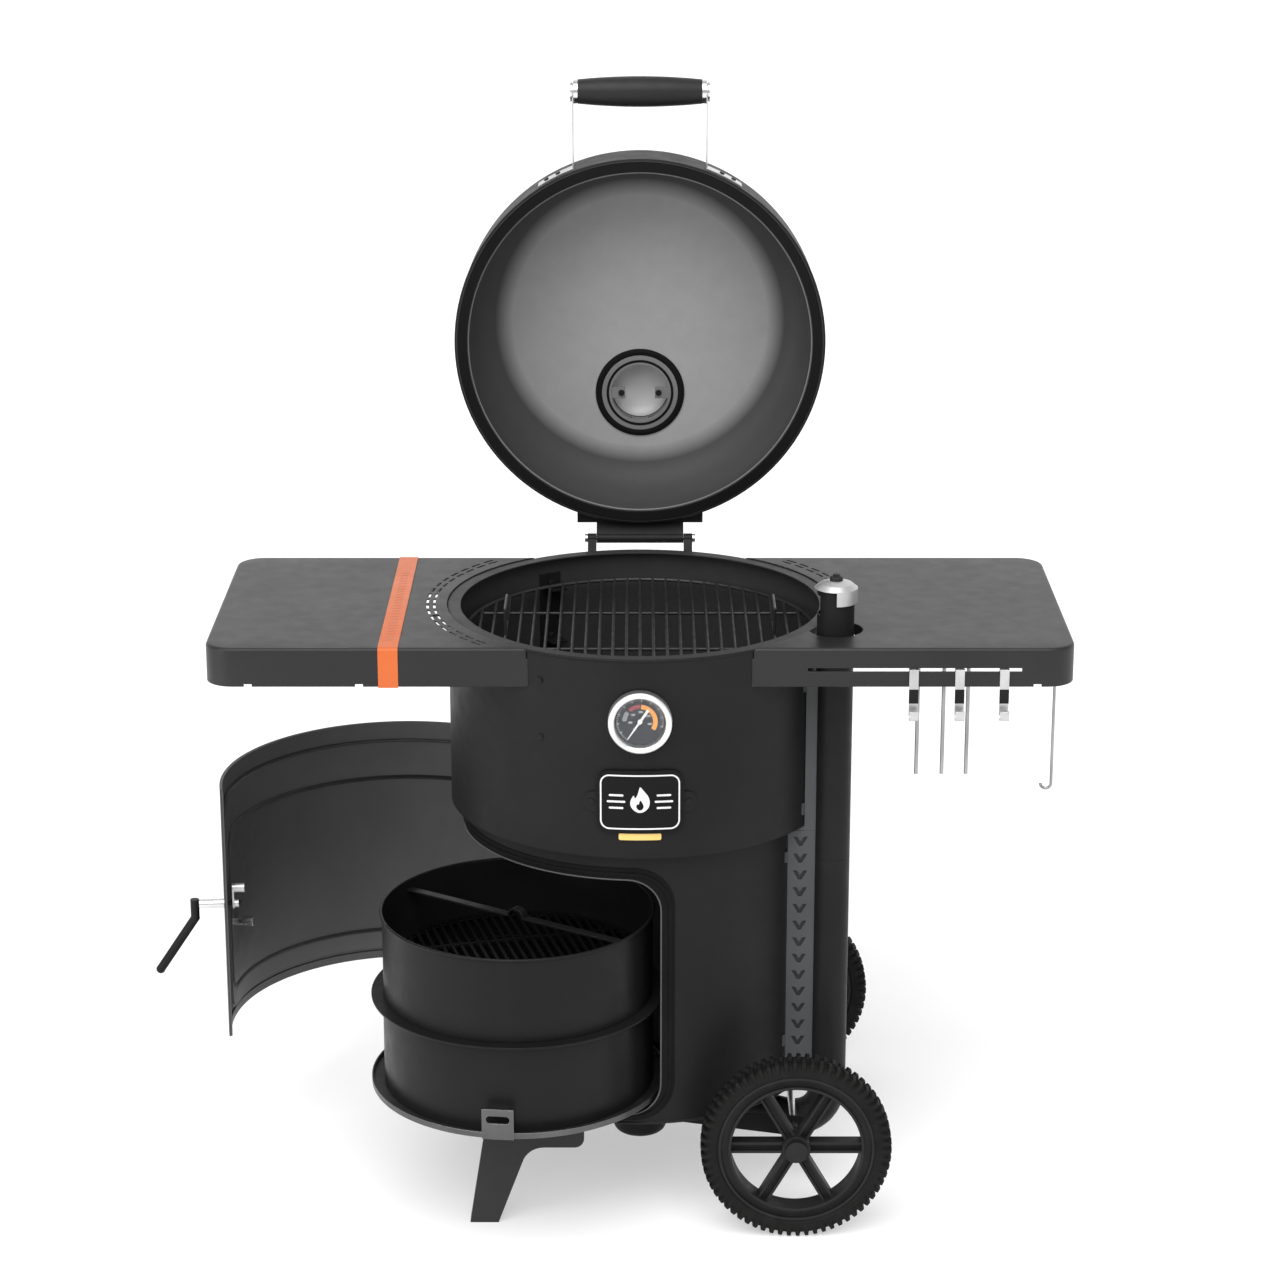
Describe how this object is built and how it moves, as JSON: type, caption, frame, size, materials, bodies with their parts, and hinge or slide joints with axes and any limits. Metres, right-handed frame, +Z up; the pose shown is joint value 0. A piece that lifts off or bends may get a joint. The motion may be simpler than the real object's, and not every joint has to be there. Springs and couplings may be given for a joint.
{
  "type": "vertical drum smoker",
  "caption": "Vertical charcoal drum smoker on a cart, with domed lid, side tables, curved fire door, swing-out fire tray, air intake pipe and vents.",
  "frame": {"origin": "middle of the open smoker's outline, on the floor", "axes": "+X to the smoker's right, +Y to its back, +Z up; front is the thermometer side"},
  "size_m": [1.4498, 0.9562, 1.7035],
  "materials": {
    "powder_coat": "satin black powder coat, fine texture",
    "enamel": "dark grey heat-proof enamel",
    "rail_grey": "matt grey paint",
    "orange_paint": "satin orange",
    "badge_black": "gloss black with white outline",
    "badge_gold": "satin gold",
    "chrome": "polished",
    "steel": "bright zinc",
    "tray_grey": "grey zinc sheet",
    "grate_iron": "seasoned black wire",
    "grip": "moulded black",
    "rim_plastic": "moulded black",
    "tyre": "rubber",
    "felt": "felt seal",
    "dial_face": "printed dial",
    "needle_white": "white",
    "glass": "clear"
  },
  "bodies": {
    "drum": {"upper_drum": "powder_coat", "lower_drum": "powder_coat", "door_frame": "enamel", "left_table": "powder_coat", "right_table": "powder_coat", "accent_band": "orange_paint", "grate_brackets": "enamel", "drum_bolts": "enamel", "thermometer_case": "chrome", "thermometer_dial": "dial_face", "thermometer_glass": "glass", "thermometer_nut": "steel", "badge_bracket": "powder_coat", "badge_plate": "badge_black", "badge_bar": "badge_gold", "badge_rivets": "steel", "lid_hinge_base": "powder_coat", "lid_hinge_pin": "steel", "door_hinge_leaves": "powder_coat", "door_hinge_pins": "steel", "intake_pipe": "powder_coat", "intake_sump": "powder_coat", "pipe_clamps": "powder_coat", "pipe_rails": "rail_grey", "axle": "steel", "axle_brackets": "powder_coat", "hub_caps": "rim_plastic", "front_leg": "powder_coat", "rear_leg": "powder_coat", "tray_pivot": "steel", "hanging_tools": "steel"},
    "lid": {"lid_shell": "powder_coat", "lid_gasket": "felt", "lid_hinge_leaf": "powder_coat", "handle_grip": "grip", "handle_end_caps": "chrome", "handle_brackets": "steel", "lid_screws": "steel", "exhaust_collar": "enamel", "exhaust_cap": "powder_coat"},
    "vent_damper": {"exhaust_damper": "powder_coat"},
    "door": {"door_skin": "enamel", "door_liner": "enamel", "door_hinge_straps": "powder_coat", "latch_posts": "chrome"},
    "latch": {"latch_handle": "grip", "latch_cam": "steel"},
    "fire_tray": {"swing_tray": "tray_grey"},
    "pan": {"ash_pan": "enamel"},
    "basket": {"fire_basket": "enamel", "basket_grid": "enamel"},
    "grate": {"cooking_grate": "grate_iron"},
    "intake_damper": {"damper_cap": "chrome", "damper_knob": "grip"},
    "needle": {"thermometer_needle": "needle_white"},
    "front_wheel": {"front_rim": "rim_plastic", "front_tyre": "tyre"},
    "rear_wheel": {"rear_rim": "rim_plastic", "rear_tyre": "tyre"},
    "hooks": {"tool_hooks": "steel"}
  },
  "joints": [
    {"name": "lid_hinge", "type": "hinge", "parent": "drum", "child": "lid", "pos_m": [0.06993, 0.26411, 0.945], "axis": [1, 0, 0], "range_deg": [0, 90]},
    {"name": "vent_turn", "type": "hinge", "parent": "lid", "child": "vent_damper", "pos_m": [0.06993, 0.44811, 1.153], "axis": [0, 1, 0], "range_deg": [0, 28]},
    {"name": "door_hinge", "type": "hinge", "parent": "drum", "child": "door", "pos_m": [-0.07943, 0.18268, 0.4], "axis": [0, 0, 1], "range_deg": [0, 88]},
    {"name": "latch_turn", "type": "hinge", "parent": "door", "child": "latch", "pos_m": [-0.60994, 0.00465, 0.398], "axis": [0.9976, 0.0698, 0], "range_deg": [0, 90]},
    {"name": "tray_swing", "type": "hinge", "parent": "drum", "child": "fire_tray", "pos_m": [0.10993, -0.30089, 0.207], "axis": [0, 0, -1], "range_deg": [0, 66]},
    {"name": "pan_lift", "type": "slide", "parent": "fire_tray", "child": "pan", "axis": [0, 0, 1], "range_m": [0, 0.03]},
    {"name": "basket_lift", "type": "slide", "parent": "pan", "child": "basket", "axis": [0, 0, 1], "range_m": [0, 0.04]},
    {"name": "grate_lift", "type": "slide", "parent": "drum", "child": "grate", "axis": [0, 0, 1], "range_m": [0, 0.09]},
    {"name": "intake_turn", "type": "hinge", "parent": "drum", "child": "intake_damper", "pos_m": [0.36793, -0.21589, 1.002], "axis": [0, 0, 1], "range_deg": [0, 180]},
    {"name": "needle_turn", "type": "hinge", "parent": "drum", "child": "needle", "pos_m": [0.06993, -0.37389, 0.84], "axis": [0, -1, 0], "range_deg": [-250, 10]},
    {"name": "front_wheel_spin", "type": "hinge", "parent": "drum", "child": "front_wheel", "pos_m": [0.31143, -0.37439, 0.148], "axis": [0, 1, 0], "continuous": true},
    {"name": "rear_wheel_spin", "type": "hinge", "parent": "drum", "child": "rear_wheel", "pos_m": [0.31143, 0.24261, 0.148], "axis": [0, 1, 0], "continuous": true},
    {"name": "hook_slide", "type": "slide", "parent": "drum", "child": "hooks", "axis": [1, 0, 0], "range_m": [-0.14, 0.015]}
  ],
  "couplings": [
    {"joint": "tray_swing", "follows": "door_hinge", "ratio": 0.75}
  ]
}
